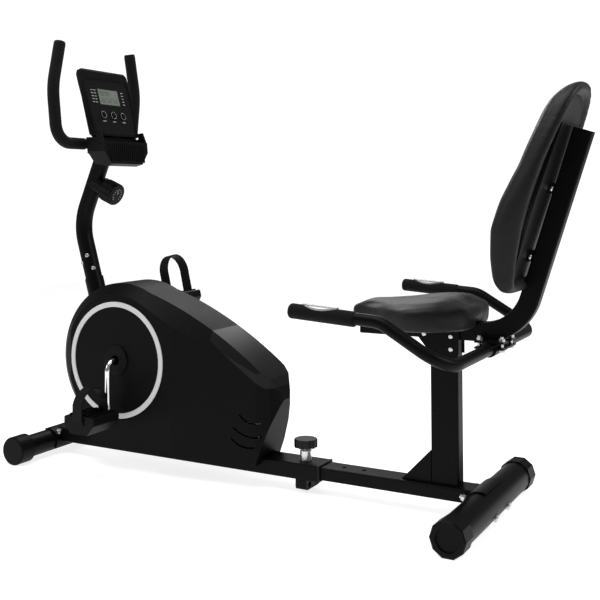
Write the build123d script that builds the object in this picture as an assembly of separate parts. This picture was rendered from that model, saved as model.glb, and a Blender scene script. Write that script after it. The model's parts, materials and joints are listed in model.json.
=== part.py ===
from build123d import *
import os
from math import acos, atan2, cos, degrees, pi, radians, sin, tan

# Recumbent exercise bike, in millimetres. X runs from the console to the backrest, Y across the
# machine, Z up. Shapes are laid out from the middle of the wheelbase and moved to the middle of
# the overall box when they are written.

# Floor structure
WHEELBASE_HALF = 607.0           # from the middle to each stabiliser's axis
CAP_R = 36.5                     # end caps stand on the floor, so this is also the axis height
FRONT_HALF, REAR_HALF = 187.0, 254.0
FRONT_TUBE_R, REAR_TUBE_R = 28.5, 34.5
CAP_LENGTH = 46.0
SADDLE_WALL, SADDLE_HALF, BOLT_Y = 4.0, 55.0, 45.0

# Telescoping beams
BEAM_W, BEAM_H, BEAM_WALL = 72.0, 38.0, 2.5
BEAM_Z = 51.0                    # centre height
BEAM_REAR = 210.0
SLIDE_W, SLIDE_H, SLIDE_WALL = 60.0, 30.0, 2.0
SLIDE_FRONT = -60.0
PIN_X, HOLE_PITCH, HOLE_R = 161.0, 51.0, 5.6
PIN_R = 5.0

# Drive
AXLE_X, AXLE_Z = -344.6, 280.0   # crank axis
CRANK_LENGTH, CRANK_ROD_R, ARM_Y = 130.0, 7.0, 121.0
SPINDLE_R = 11.0
PEDAL_IN, PEDAL_OUT, PEDAL_SPINDLE_R = 133.0, 229.0, 6.0
STRAP_TOP = {"left": 78.0, "right": 124.0}
RIGHT_TIP = -13.0                # how far the right pedal is turned back on its spindle, in degrees
WHEEL_X, WHEEL_Z, WHEEL_R = -70.0, 190.0, 105.0   # flywheel
CRANK_PULLEY_R, WHEEL_PULLEY_R, IDLER_R = 115.0, 22.0, 15.0
BELT_Y, BELT_W, BELT_T = 35.0, 10.0, 3.0
GAP = 0.3                        # between pieces that move past each other
RUN = 0.05                       # radial clearance of a running fit

# Housing
SIDE_Y, EDGE_Y, SKIN = 88.7, 58.0, 2.5
RING_R, RING_BAND, RING_T = 148.6, 13.0, 2.4

# Stem and controls
STEM_R, STEM_WALL, POST_R = 22.5, 2.5, 25.0
STEM_FOOT = (-371.7, 70.0)       # X, Z where its axis meets the beam
STEM_JOINT = (-494.9, 478.0)
STEM_BEND = (-539.4, 625.4)
STEM_TOP = (-446.5, 846.7)
STEM_BEND_R = 145.0
BAR_R, FOAM_R = 12.7, 15.6
DIAL_Z, DIAL_R = 735.0, 30.5
FACE_TILT = 16.4                 # console face from the vertical, in degrees
FACE_BOTTOM = (-413.0, 864.0)
FACE_HEIGHT = 160.0

# Seat frame
POST_X, POST_LEN, POST_W = 516.5, 64.0, 34.0
CURVE_H, CURVE_W, CURVE_WALL = 42.0, 28.0, 2.0
CURVE_Z, CURVE_FRONT, CURVE_R = 405.0, 312.0, 112.0
UPRIGHT_LEAN = 18.05             # backrest tube from the vertical, in degrees
CORNER_X = 681.4                 # where the two straight runs of the curved tube would meet
UPRIGHT_TOP_Z = 838.0
HANDLE_Y, HANDLE_X, HANDLE_Z = 303.0, 628.0, 373.9


def rod(start, end, radius, bore=0.0):
    start, end = Vector(*start), Vector(*end)
    line = end - start
    shape = Cylinder(radius, line.length, align=(Align.CENTER, Align.CENTER, Align.MIN))
    if bore:
        shape -= Cylinder(bore, line.length, align=(Align.CENTER, Align.CENTER, Align.MIN))
    return Plane(origin=start, z_dir=line.normalized()) * shape


def cross_rod(x, z, y0, y1, radius, bore=0.0):
    return rod((x, y0, z), (x, y1, z), radius, bore)


def block(x0, x1, y0, y1, z0, z1):
    return Pos((x0 + x1) / 2, (y0 + y1) / 2, (z0 + z1) / 2) * Box(x1 - x0, y1 - y0, z1 - z0)


def side_prism(points, y0, y1):
    # a closed outline of X, Z points, given its width from y0 to y1
    face = make_face(Polyline(*[(x, y0, z) for x, z in points], close=True))
    return extrude(face, amount=y1 - y0, dir=(0, 1, 0))


def box_tube(x0, x1, width, height, wall, z):
    hollow = Box(x1 - x0, width - 2 * wall, height - 2 * wall)
    return Pos((x0 + x1) / 2, 0, z) * (rounded_bar(x1 - x0, width, height) - hollow)


def rounded_bar(length, width, height, radius=4.0):
    profile = Plane.YZ * RectangleRounded(width, height, radius)
    return Pos(-length / 2, 0, 0) * extrude(profile, amount=length)


def bent_tube(points, radii, outer, inner=0.0):
    path = FilletPolyline(*points, radius=radii)
    start = Plane(origin=path @ 0, z_dir=path % 0)
    shape = sweep(start * Circle(outer), path=path)
    if inner:
        shape -= sweep(start * Circle(inner), path=path)
    return shape


def mirror_y(shape):
    return mirror(shape, about=Plane.XZ)


def both_sides(shape):
    return [shape, mirror_y(shape)]


def hex_nut(width, height, bore=0.0):
    nut = extrude(RegularPolygon(width / 2, 6, major_radius=False), amount=height)
    return nut - Cylinder(bore, 3 * height) if bore else nut


# Floor structure


def stabiliser_tube(x, radius, half):
    reach = half - CAP_LENGTH + 12
    return cross_rod(x, CAP_R, -reach, reach, radius, radius - 2)


def front_cap():
    # a plain round cap with a stepped collar over the tube's end
    inner = FRONT_HALF - CAP_LENGTH
    cap = cross_rod(-WHEELBASE_HALF, CAP_R, -FRONT_HALF, -inner, CAP_R)
    cap = fillet(cap.faces().sort_by(Axis.Y)[0].edges(), 5)
    return cap - cross_rod(-WHEELBASE_HALF, CAP_R, -inner - 12, -inner, FRONT_TUBE_R)


def rear_cap():
    # a ten-sided cap that stands on one flat, with a dished end
    inner = REAR_HALF - CAP_LENGTH
    outline = Plane.XZ * RegularPolygon(CAP_R, 10, major_radius=False)
    cap = Pos(WHEELBASE_HALF, -inner, CAP_R) * extrude(outline, amount=CAP_LENGTH)
    cap = chamfer(cap.faces().sort_by(Axis.Y)[0].edges(), 3)
    cap -= cross_rod(WHEELBASE_HALF, CAP_R, -REAR_HALF, -REAR_HALF + 4, 25)
    return cap - cross_rod(WHEELBASE_HALF, CAP_R, -inner - 12, -inner, REAR_TUBE_R)


def saddle(x, tube_r, towards):
    # a curved plate between a beam's end and the stabiliser that it is bolted to
    outer = tube_r + SADDLE_WALL
    ring = cross_rod(x, CAP_R, -SADDLE_HALF, SADDLE_HALF, outer, tube_r)
    reach = 2 * outer
    angles = (-38, 0, 40, 80, 112)
    fan = [(x, CAP_R)] + [(x + towards * reach * cos(radians(a)), CAP_R + reach * sin(radians(a)))
                          for a in angles]
    return ring & side_prism(fan, -SADDLE_HALF, SADDLE_HALF)


def carriage_bolt(x, tube_r, towards, tilt, y):
    # a domed head outside the stabiliser, a shank through it and a nut on the saddle
    direction = Vector(towards * cos(radians(tilt)), 0, sin(radians(tilt)))
    frame = Plane(origin=(x, y, CAP_R), z_dir=direction)
    head = Pos(0, 0, -tube_r - 3) * Cylinder(9, 6)
    head = fillet(head.faces().sort_by(Axis.Z)[0].edges(), 3)
    top = tube_r + SADDLE_WALL + 12
    shank = Pos(0, 0, (top - tube_r) / 2) * Cylinder(4, top + tube_r)
    nut = Pos(0, 0, top - 12) * hex_nut(13, 7)
    return frame * (head + shank + nut)


def stabiliser_bolts(x, tube_r, towards, tilt):
    return [carriage_bolt(x, tube_r, towards, tilt, y) for y in (-BOLT_Y, BOLT_Y)]


def bolt_holes(x, tube_r, towards, tilt):
    direction = Vector(towards * cos(radians(tilt)), 0, sin(radians(tilt)))
    holes = [rod(Vector(x, y, CAP_R) - direction * 60, Vector(x, y, CAP_R) + direction * 60, 4.0)
             for y in (-BOLT_Y, BOLT_Y)]
    return holes[0] + holes[1]


# Telescoping beams

FRONT_TILT, REAR_TILT = 42.0, 24.0
FRONT_BOLTS = bolt_holes(-WHEELBASE_HALF, FRONT_TUBE_R, 1, FRONT_TILT)
REAR_BOLTS = bolt_holes(WHEELBASE_HALF, REAR_TUBE_R, -1, REAR_TILT)


def main_beam():
    start = -WHEELBASE_HALF + FRONT_TUBE_R
    beam = box_tube(start - 12, BEAM_REAR, BEAM_W, BEAM_H, BEAM_WALL, BEAM_Z)
    beam -= cross_rod(-WHEELBASE_HALF, CAP_R, -60, 60, FRONT_TUBE_R + 1)
    beam += saddle(-WHEELBASE_HALF, FRONT_TUBE_R, 1)
    beam -= FRONT_BOLTS
    return beam - Pos(PIN_X, 0, 70) * Cylinder(PIN_R + RUN, 20)


def slide_bush():
    # a nylon sleeve in the mouth of the outer beam, with a flange outside
    sleeve = block(BEAM_REAR - 32, BEAM_REAR, -33.4, 33.4, BEAM_Z - 16.4, BEAM_Z + 16.4)
    flange = block(BEAM_REAR, BEAM_REAR + 4, -36, 36, BEAM_Z - 19, BEAM_Z + 19)
    window = block(0, 400, -SLIDE_W / 2 - GAP, SLIDE_W / 2 + GAP,
                   BEAM_Z - SLIDE_H / 2 - GAP, BEAM_Z + SLIDE_H / 2 + GAP)
    return sleeve + flange - window


def middle_foot():
    # a moulded block under the outer beam, with two lightening holes from behind
    foot = block(151, 180, -34, 34, 8, BEAM_Z - BEAM_H / 2)
    foot = fillet(foot.edges().filter_by(Axis.X).sort_by(Axis.Z)[:2], 8)
    for y in (-17, 17):
        foot -= rod((160, y, 19), (180, y, 19), 7)
    return foot


def slide_beam():
    rear = WHEELBASE_HALF - REAR_TUBE_R
    beam = box_tube(SLIDE_FRONT, rear + 14, SLIDE_W, SLIDE_H, SLIDE_WALL, BEAM_Z)
    beam -= cross_rod(WHEELBASE_HALF, CAP_R, -60, 60, REAR_TUBE_R + 1)
    for step in range(-2, 4):
        beam -= Pos(PIN_X + step * HOLE_PITCH, 0, BEAM_Z + SLIDE_H / 2) * Cylinder(HOLE_R, 12)
    return beam + saddle(WHEELBASE_HALF, REAR_TUBE_R, -1) - REAR_BOLTS


def stabiliser(x, radius, half, holes):
    return stabiliser_tube(x, radius, half) - holes


# Pop pin that locks the beams

BOSS_TOP = 93.0
HEAD_LOW, HEAD_TOP, HEAD_R, HEAD_LOBES = 101.5, 121.0, 28.0, 10


def pin_boss():
    boss = Pos(PIN_X, 0, 0) * Cylinder(14, BOSS_TOP - 70, align=(Align.CENTER, Align.CENTER, Align.MIN))
    boss = Pos(0, 0, 70) * boss
    for z in (73, 77, 81):
        ring = Pos(PIN_X, 0, z) * (Cylinder(16, 2) - Cylinder(13, 2))
        boss -= ring
    boss -= Pos(PIN_X, 0, 81) * Cylinder(9.5, 20)
    return boss - Pos(PIN_X, 0, 85) * Cylinder(PIN_R + RUN, 60)


def pull_pin():
    pin = rod((PIN_X, 0, 66.3), (PIN_X, 0, HEAD_LOW + 8), PIN_R)
    return pin + rod((PIN_X, 0, 80), (PIN_X, 0, 82.5), 8.5)


def pin_spring():
    path = Pos(PIN_X, 0, 83.3) * Helix(pitch=2.4, height=7.0, radius=7.2)
    start = Plane(origin=path @ 0, z_dir=path % 0)
    return sweep(start * Circle(0.7), path=path, is_frenet=True)


def pin_head():
    # a lobed knob moulded over the pin
    head = rod((PIN_X, 0, HEAD_LOW), (PIN_X, 0, HEAD_TOP), HEAD_R)
    head = fillet(head.faces().sort_by(Axis.Z)[-1].edges(), 3)
    for i in range(HEAD_LOBES):
        a = 2 * pi * i / HEAD_LOBES
        x, y = PIN_X + (HEAD_R + 4) * cos(a), (HEAD_R + 4) * sin(a)
        head -= rod((x, y, HEAD_LOW - 1), (x, y, HEAD_TOP + 1), 6.5)
    return head - rod((PIN_X, 0, 60), (PIN_X, 0, HEAD_LOW + 8), PIN_R)


# Drive supports


def stem_axis(z):
    t = (z - STEM_FOOT[1]) / (STEM_JOINT[1] - STEM_FOOT[1])
    return (STEM_FOOT[0] + t * (STEM_JOINT[0] - STEM_FOOT[0]), 0, z)


def stem_post():
    # welded to the beam; its reduced spigot carries the upper stem
    post = rod(stem_axis(40), stem_axis(STEM_JOINT[1] - 0.1), POST_R, POST_R - 2.5)
    spigot = rod(stem_axis(STEM_JOINT[1] - 6), stem_axis(560), STEM_R - STEM_WALL - 0.1, 16)
    post -= block(-500, -200, -60, 60, 0, BEAM_Z + BEAM_H / 2)
    collar = rod(stem_axis(STEM_JOINT[1] - 6), stem_axis(STEM_JOINT[1] - 0.1), POST_R, 19)
    return post + collar + spigot - stem_screw_holes()


SHELL_Y0, SHELL_Y1 = -48.0, 22.0


def bottom_bracket():
    # a bearing shell on a pair of leaning plates
    shell = cross_rod(AXLE_X, AXLE_Z, SHELL_Y0, SHELL_Y1, 22, 19)
    outline = [(-334, 70), (-292, 70), (-322, 272), (-367, 272)]
    plates = side_prism(outline, -27, -22) + side_prism(outline, 14, 19)
    foot = block(-334, -292, -36, 19, 70, 75)
    bore = cross_rod(AXLE_X, AXLE_Z, SHELL_Y0, SHELL_Y1, 21)
    return shell + (plates - bore) + foot


def bearing_cups():
    cups = []
    for y0, y1 in ((SHELL_Y0, SHELL_Y0 + 10), (SHELL_Y1 - 10, SHELL_Y1)):
        cups.append(cross_rod(AXLE_X, AXLE_Z, y0, y1, 19, SPINDLE_R + RUN))
    return cups


def flywheel_mount():
    base = block(-112, 24, -30, 60, 70, 76)
    cheek = [(-112, 76), (-28, 76), (-56, 206), (-84, 206)]
    cheeks = side_prism(cheek, -30, -25) + side_prism(cheek, 55, 60)
    lug = [(-12, 76), (24, 76), (14, 112), (-4, 112)]
    lugs = side_prism(lug, -22, -17) + side_prism(lug, 17, 22)
    mount = base + cheeks + lugs
    mount -= cross_rod(WHEEL_X, WHEEL_Z, -60, 80, 6)
    mount -= cross_rod(MAGNET_PIVOT[0], MAGNET_PIVOT[1], -60, 60, 3)
    return mount - cross_rod(WHEEL_X, WHEEL_Z, -24, 54, WHEEL_R + 6)


MAGNET_START, MAGNET_END = -38.0, 42.0
MAGNET_PIVOT = (5.2, 100.4)


def flywheel_axle():
    axle = cross_rod(WHEEL_X, WHEEL_Z, -38, 68, 6)
    nut = hex_nut(18, 7, 6)
    for y in (-37.5, 60.5):
        axle += Pos(WHEEL_X, y, WHEEL_Z) * (Plane(origin=(0, 0, 0), z_dir=(0, 1, 0)) * nut)
    pin = cross_rod(MAGNET_PIVOT[0], MAGNET_PIVOT[1], -24, 24, 3)
    return [axle, pin]


def flywheel():
    wheel = cross_rod(WHEEL_X, WHEEL_Z, -12, 12, WHEEL_R)
    for y0, y1 in ((-12, -5), (5, 12)):
        wheel -= cross_rod(WHEEL_X, WHEEL_Z, y0, y1, WHEEL_R - 22, 26)
    hub = cross_rod(WHEEL_X, WHEEL_Z, -22, 28, 20)
    return wheel + hub - cross_rod(WHEEL_X, WHEEL_Z, -30, 60, 14)


def flywheel_pulley():
    pulley = cross_rod(WHEEL_X, WHEEL_Z, 28, 42, WHEEL_PULLEY_R, 14)
    flange = cross_rod(WHEEL_X, WHEEL_Z, 28, 29.2, WHEEL_PULLEY_R + 4, 14)
    return pulley + flange + Pos(0, 12.8, 0) * flange


def flywheel_bearings():
    return [cross_rod(WHEEL_X, WHEEL_Z, y0, y0 + 10, 14, 6 + RUN) for y0 in (-22, 32)]


def belt_line(back):
    # tangent points of an open belt on the two pulleys, offset outwards by back
    dx, dz = WHEEL_X - AXLE_X, WHEEL_Z - AXLE_Z
    distance = (dx * dx + dz * dz) ** 0.5
    lean = atan2(dz, dx)
    spread = acos((CRANK_PULLEY_R - WHEEL_PULLEY_R) / distance)
    points = []
    for sign in (1, -1):
        a = lean + sign * spread
        for x, z, r in ((AXLE_X, AXLE_Z, CRANK_PULLEY_R), (WHEEL_X, WHEEL_Z, WHEEL_PULLEY_R)):
            points.append((x + (r + back) * cos(a), z + (r + back) * sin(a)))
    return points


def belt_form(back, y0, y1):
    hull = cross_rod(AXLE_X, AXLE_Z, y0, y1, CRANK_PULLEY_R + back)
    hull += cross_rod(WHEEL_X, WHEEL_Z, y0, y1, WHEEL_PULLEY_R + back)
    a, b, c, d = belt_line(back)
    return hull + side_prism([a, b, d, c], y0, y1)


def belt():
    y0, y1 = BELT_Y - BELT_W / 2, BELT_Y + BELT_W / 2
    return belt_form(GAP + BELT_T, y0, y1) - belt_form(GAP, y0 - 1, y1 + 1)


def idler_centre():
    # under the lower run of the belt, a third of the way from the flywheel
    c, d = belt_line(2 * GAP + BELT_T + IDLER_R)[2:]
    return (d[0] + 0.4 * (c[0] - d[0]), d[1] + 0.4 * (c[1] - d[1]))


def idler_bracket():
    # a post from the beam with a fixed stud for the idler
    x, z = idler_centre()
    base = block(x - 16, x + 16, 8, 36, 70, 75)
    cheek = block(x - 12, x + 12, 20, 24, 75, z + 12)
    stud = cross_rod(x, z, 20, 43, 5)
    return base + cheek + stud


def idler_pulley():
    x, z = idler_centre()
    pulley = cross_rod(x, z, BELT_Y - 6.5, BELT_Y + 6.5, IDLER_R)
    return pulley - cross_rod(x, z, 0, 80, 5 + RUN)


def arc_block(radius, depth, a0, a1, y):
    # a curved bar about the flywheel's axis, between two angles from +X
    ring = cross_rod(WHEEL_X, WHEEL_Z, -y, y, radius + depth, radius)
    reach = 1.6 * (radius + depth)
    fan = [(WHEEL_X, WHEEL_Z)]
    for i in range(5):
        a = radians(a0 + (a1 - a0) * i / 4)
        fan.append((WHEEL_X + reach * cos(a), WHEEL_Z + reach * sin(a)))
    return ring & side_prism(fan, -y, y)


def magnet_arm():
    arm = arc_block(WHEEL_R + 6, 5, MAGNET_START, MAGNET_END, 14)
    x, z = MAGNET_PIVOT
    knuckle = cross_rod(x, z, -16.5, 16.5, 7)
    web = side_prism([(x - 5, z + 3), (x + 5, z - 4), (26, 118), (18, 124)], -14, 14)
    arm += knuckle + (web - cross_rod(WHEEL_X, WHEEL_Z, -20, 20, WHEEL_R + 6))
    return arm - cross_rod(x, z, -60, 60, 3 + RUN)


def magnets():
    return [arc_block(WHEEL_R + 2, 4, a, a + 13, 11) for a in (-26, -8, 10, 28)]


# Crank and pedals


def crank():
    # one forged rod: left arm down, spindle across, right arm up
    x, z, r = AXLE_X, AXLE_Z, CRANK_LENGTH
    points = [(x, -ARM_Y, z - r), (x, -ARM_Y, z), (x, ARM_Y, z), (x, ARM_Y, z + r)]
    shape = bent_tube(points, [24, 24], CRANK_ROD_R)
    shape += cross_rod(x, z, SHELL_Y0 - 6, 60, SPINDLE_R)
    for side in (-1, 1):
        eye = cross_rod(x, z + side * r, side * ARM_Y - 9, side * ARM_Y + 9, 12)
        shape += eye
        shape -= cross_rod(x, z + side * r, side * ARM_Y - 12, side * ARM_Y + 12, PEDAL_SPINDLE_R)
    return shape


def crank_pulley():
    pulley = cross_rod(AXLE_X, AXLE_Z, 28, 42, CRANK_PULLEY_R, SPINDLE_R)
    for y0, y1 in ((28, 32), (38, 42)):
        pulley -= cross_rod(AXLE_X, AXLE_Z, y0, y1, CRANK_PULLEY_R - 12, 30)
    for i in range(5):
        a = radians(72 * i + 18)
        pulley -= cross_rod(AXLE_X + 66 * cos(a), AXLE_Z + 66 * sin(a), 20, 50, 22)
    return pulley


def pedal_axle_z(side):
    return AXLE_Z + (-CRANK_LENGTH if side == "left" else CRANK_LENGTH)


def on_side(shape, side):
    return shape if side == "left" else mirror_y(shape)


def tip_back(shape):
    return shape.rotate(Axis((AXLE_X, 0, pedal_axle_z("right")), (0, 1, 0)), RIGHT_TIP)


def pedal_spindles():
    spindles = []
    for side in ("left", "right"):
        z = pedal_axle_z(side)
        spindle = rod((AXLE_X, -ARM_Y + 9, z), (AXLE_X, -PEDAL_OUT + 6, z), PEDAL_SPINDLE_R)
        spindle += rod((AXLE_X, -ARM_Y - 9, z), (AXLE_X, -ARM_Y - 11.5, z), 9)
        spindles.append(on_side(spindle, side))
    return spindles


def pedal(side):
    # a weighted platform: flat ribbed top, boat-shaped underside, blind bore
    z = pedal_axle_z(side)
    outline = [(-46, 14), (46, 14), (46, -6), (26, -30), (-26, -30), (-46, -6)]
    body = side_prism([(AXLE_X + x, z + h) for x, h in outline], -PEDAL_OUT, -PEDAL_IN)
    body = fillet(body.edges().filter_by(Axis.Y), 6)
    for i in range(5):
        x = AXLE_X - 34 + 17 * i
        body += block(x - 2, x + 2, -PEDAL_OUT + 8, -PEDAL_IN - 8, z + 12, z + 18)
    body += block(AXLE_X - 16, AXLE_X + 16, -PEDAL_OUT - LUG, -PEDAL_OUT + 4, z - 6, z + 14)
    body -= rod((AXLE_X, -PEDAL_IN + 2, z), (AXLE_X, -PEDAL_OUT + 5, z), PEDAL_SPINDLE_R + RUN)
    return on_side(body, side)


LUG, STRAP_T = 3.5, 3.0          # the lug stands out to the strap's inner face


def strap_points(z, top, inset):
    y_in, y_out = -PEDAL_IN - 5, -PEDAL_OUT - LUG - STRAP_T
    shoulder = z + 0.55 * top
    return [(AXLE_X, y_out + inset, z + 2), (AXLE_X, y_out + inset, shoulder),
            (AXLE_X, (y_in + y_out) / 2, z + top - inset), (AXLE_X, y_in - inset, shoulder),
            (AXLE_X, y_in - inset, z + 14)]


def strap_curve(points):
    return [Line(points[0], points[1]), ThreePointArc(points[1], points[2], points[3]),
            Line(points[3], points[4])]


def pedal_strap(side):
    # a rubber band arched over the foot, hooked to the outer lug and the inner edge
    z = pedal_axle_z(side)
    outer, inner = strap_points(z, STRAP_TOP[side], 0), strap_points(z, STRAP_TOP[side], STRAP_T)
    wires = strap_curve(outer) + strap_curve(inner)
    wires += [Line(outer[0], inner[0]), Line(outer[4], inner[4])]
    band = extrude(make_face(wires), amount=14, dir=(1, 0, 0), both=True)
    return on_side(band, side)


# Housing

HOUSE_C, HOUSE_R = (-348.0, 278.0), 196.0
HOUSE_LOW = 54.0
TAIL_TOP, TAIL_BACK, TAIL_LOW = (90.0, 262.0), (110.0, 210.0), (54.0, HOUSE_LOW)
NOSE_LOW_X = -440.0


def tangent_point(centre, radius, point):
    # where a line from the point touches the front of a circle
    dx, dz = point[0] - centre[0], point[1] - centre[1]
    distance = (dx * dx + dz * dz) ** 0.5
    a = atan2(dz, dx) - acos(radius / distance)
    return (centre[0] + radius * cos(a), centre[1] + radius * sin(a))


def side_outline(y, centre, radius, nose, top_at, crown, tail):
    # circle round the front, a crowned back, then the tail's corner points and a flat base
    start = tangent_point(centre, radius, nose)
    left = (centre[0] - radius, centre[1])
    leave = (centre[0] + radius * cos(top_at), centre[1] + radius * sin(top_at))
    loop = [ThreePointArc(on(start, y), on(left, y), on(leave, y)),
            ThreePointArc(on(leave, y), on(crown, y), on(tail[0], y))]
    corners = list(tail) + [nose, start]
    loop += [Line(on(p, y), on(q, y)) for p, q in zip(corners, corners[1:])]
    return make_face(loop)


def on(point, y):
    return (point[0], y, point[1])


def housing_form(skin):
    # core to EDGE_Y, then a bevelled band up to the flat side faces
    s = skin
    edge = side_outline(-EDGE_Y, HOUSE_C, HOUSE_R - s, (NOSE_LOW_X + s, HOUSE_LOW + s),
                        radians(63), (-70 - 0.5 * s, 371 - s),
                        [(TAIL_TOP[0] - s, TAIL_TOP[1] - s), (TAIL_BACK[0] - s, TAIL_BACK[1]),
                         (TAIL_LOW[0] - s, HOUSE_LOW + s)])
    face = side_outline(-SIDE_Y + s, (AXLE_X, AXLE_Z), 166 - s, (-424 + s, 64 + s),
                        radians(59), (-82 - 0.5 * s, 322 - s),
                        [(66 - s, 222 - s), (80 - s, 190), (36 - s, 64 + s)])
    core = extrude(edge, amount=2 * EDGE_Y, dir=(0, 1, 0))
    flank = loft([edge, face])
    form = core + flank + mirror_y(flank)
    return form & plan_form(s)


def plan_form(s):
    # the plan view: rounded nose, full width round the crank, tapering tail
    half = [(-548, 56), (-528, 76), (-497, SIDE_Y), (-170, SIDE_Y), (60, 64), (88, 46), (104, 26), (111, 10)]
    half = [(x + (s if x < -300 else -s if x > 100 else 0), y - s) for x, y in half]
    points = half + [(x, -y) for x, y in reversed(half)]
    face = make_face(Polyline(*[(x, y, 0) for x, y in points], close=True))
    return extrude(face, amount=600, dir=(0, 0, 1))


def vent_slots():
    # three hooked louvres low on the tail
    slots = []
    for x, z, run in ((16, 176, 54), (0, 144, 72), (-6, 118, 62)):
        line = ThreePointArc((x, z), (x + 0.3 * run, z - 14), (x + run, z - 18))
        slots.append(extrude(Plane.XZ * trace(line, 4), amount=120, both=True))
    return slots


def tail_zone():
    return side_prism([(-74, 520), (-66, 346), (40, 268), (78, 240), (200, 240), (200, 520)], -120, 120)


def housing_shell():
    shell = housing_form(0) - housing_form(SKIN)
    shell -= block(-700, 300, -BEAM_W / 2 - 0.5, BEAM_W / 2 + 0.5, 20, BEAM_Z + BEAM_H / 2 + 0.5)
    shell -= rod(stem_axis(300), stem_axis(600), POST_R + 0.5)
    shell -= cross_rod(AXLE_X, AXLE_Z, -120, 120, 30)
    for slot in vent_slots():
        shell -= slot
    return shell


def housing_half(shell, side):
    y0, y1 = (-150, 0) if side == "left" else (0, 150)
    half = shell & block(-700, 300, y0, y1, 0, 600)
    return half - tail_zone()


def tail_cover(shell):
    return shell & tail_zone()


def trim_ring():
    ring = cross_rod(AXLE_X, AXLE_Z, -SIDE_Y - RING_T, -SIDE_Y, RING_R, RING_R - RING_BAND)
    outer_edge = ring.faces().sort_by(Axis.Y)[0].edges()
    return chamfer(outer_edge, 0.8)


def hub_disc():
    disc = cross_rod(AXLE_X, AXLE_Z, -SIDE_Y - 5, -SIDE_Y, 38)
    disc = fillet(disc.faces().sort_by(Axis.Y)[0].edges(), 3)
    return disc - cross_rod(AXLE_X, AXLE_Z, -100, 0, SPINDLE_R + 1.5)


# Stem and handlebar


def lean_back():
    # unit direction of the upper stem, and its normal away from the rider
    dx, dz = STEM_TOP[0] - STEM_BEND[0], STEM_TOP[1] - STEM_BEND[1]
    length = (dx * dx + dz * dz) ** 0.5
    return Vector(dx / length, 0, dz / length), Vector(-dz / length, 0, dx / length)


def upper_axis(z):
    t = (z - STEM_BEND[1]) / (STEM_TOP[1] - STEM_BEND[1])
    return Vector(STEM_BEND[0] + t * (STEM_TOP[0] - STEM_BEND[0]), 0, z)


def stem():
    # the bent upper tube with the handlebar's saddle welded to its front
    points = [(x, 0, z) for x, z in (STEM_JOINT, STEM_BEND, STEM_TOP)]
    tube = bent_tube(points, [STEM_BEND_R], STEM_R, STEM_R - STEM_WALL)
    return tube + bar_saddle() - stem_screw_holes() - clamp_screw_holes()


BAR_CENTRE_Z = 841.0


def bar_centre():
    front = lean_back()[1]
    reach = STEM_R + 1.5 + BAR_R
    foot = upper_axis(BAR_CENTRE_Z - reach * front.Z)
    return foot + front * reach


def bar_points():
    x = bar_centre().X
    half = [(144, 1099), (169, 985), (152, BAR_CENTRE_Z)]
    return [(x, -y, z) for y, z in half] + [(x, y, z) for y, z in reversed(half)]


BAR_RADII = [190, 55, 55, 190]


def handlebar():
    return bent_tube(bar_points(), BAR_RADII, BAR_R, BAR_R - 1.8)


def handlebar_grips():
    # foam sleeves from just under each tip to the middle of the bar
    foam = bent_tube(bar_points(), BAR_RADII, FOAM_R, BAR_R + 0.02)
    middle = block(-700, -300, -46, 46, 700, 900)
    tips = block(-700, -300, -400, 400, 1092, 1200)
    return foam - middle - tips


def handlebar_caps():
    x, y0, z0 = bar_points()[0]
    axis = (Vector(*bar_points()[0]) - Vector(*bar_points()[1])).normalized()
    cap = rod(Vector(x, y0, z0), Vector(x, y0, z0) + axis * 7, FOAM_R - 0.6)
    cap = fillet(cap.faces().sort_by(Axis.Z)[-1].edges(), 3)
    cap += rod(Vector(x, y0, z0) - axis * 14, Vector(x, y0, z0), BAR_R - 1.8)
    return both_sides(cap)


def bar_saddle():
    # a bracket between the stem and the bar, open at the front
    centre = bar_centre()
    front = lean_back()[1]
    ring = rod((centre.X, -20, centre.Z), (centre.X, 20, centre.Z), BAR_R + 4, BAR_R)
    frame = Plane(origin=centre, x_dir=(0, 1, 0), z_dir=-front)
    back = frame * Pos(0, 0, 20) * Box(44, 60, 40)
    pad = frame * Pos(0, 0, 12) * Box(34, 26, 14)
    wings = frame * Pos(0, 0, 2) * Box(40, 54, 4)
    bracket = (ring & back) + pad + wings
    bracket -= rod((centre.X, -40, centre.Z), (centre.X, 40, centre.Z), BAR_R)
    return bracket - rod(upper_axis(760), upper_axis(900), STEM_R - 1)


def bar_clamp():
    centre = bar_centre()
    front = lean_back()[1]
    ring = rod((centre.X, -20, centre.Z), (centre.X, 20, centre.Z), BAR_R + 4, BAR_R)
    frame = Plane(origin=centre, x_dir=(0, 1, 0), z_dir=front)
    clamp = (ring & (frame * Pos(0, 0, 20) * Box(44, 60, 40))) + frame * Pos(0, 0, 2) * Box(40, 54, 4)
    clamp -= rod((centre.X, -40, centre.Z), (centre.X, 40, centre.Z), BAR_R)
    return clamp - clamp_screw_holes()


def clamp_screws():
    # where the two screws go in, and the way that they face
    up, front = lean_back()
    return [(bar_centre() + up * 21.5 * side + front * 4, front) for side in (-1, 1)]


def clamp_screw_holes():
    holes = [rod(at - out * 7.5, at + out, 2.5) for at, out in clamp_screws()]
    return holes[0] + holes[1]


def stem_screws():
    # three through the upper tube into the spigot
    spots = []
    for z, turn in ((536, -62), (500, -40), (520, -118)):
        a = radians(turn)
        out = Vector(cos(a), sin(a), 0.3 * cos(a)).normalized()
        spots.append((Vector(*stem_axis(z)) + out * STEM_R, out))
    return spots


def stem_screw_holes():
    holes = [rod(at - out * 3.5, at + out, 3.0) for at, out in stem_screws()]
    return holes[0] + holes[1] + holes[2]


def small_screw(at, direction, length, radius=3.0, head=6.0):
    # a domed head standing outwards along the direction, the shank inwards
    at, direction = Vector(*at), Vector(*direction).normalized()
    dome = rod(at, at + direction * 3.5, head)
    dome = fillet(dome.edges().sort_by_distance(at + direction * 10)[0], 2.5)
    return dome + rod(at - direction * length, at, radius)


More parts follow.
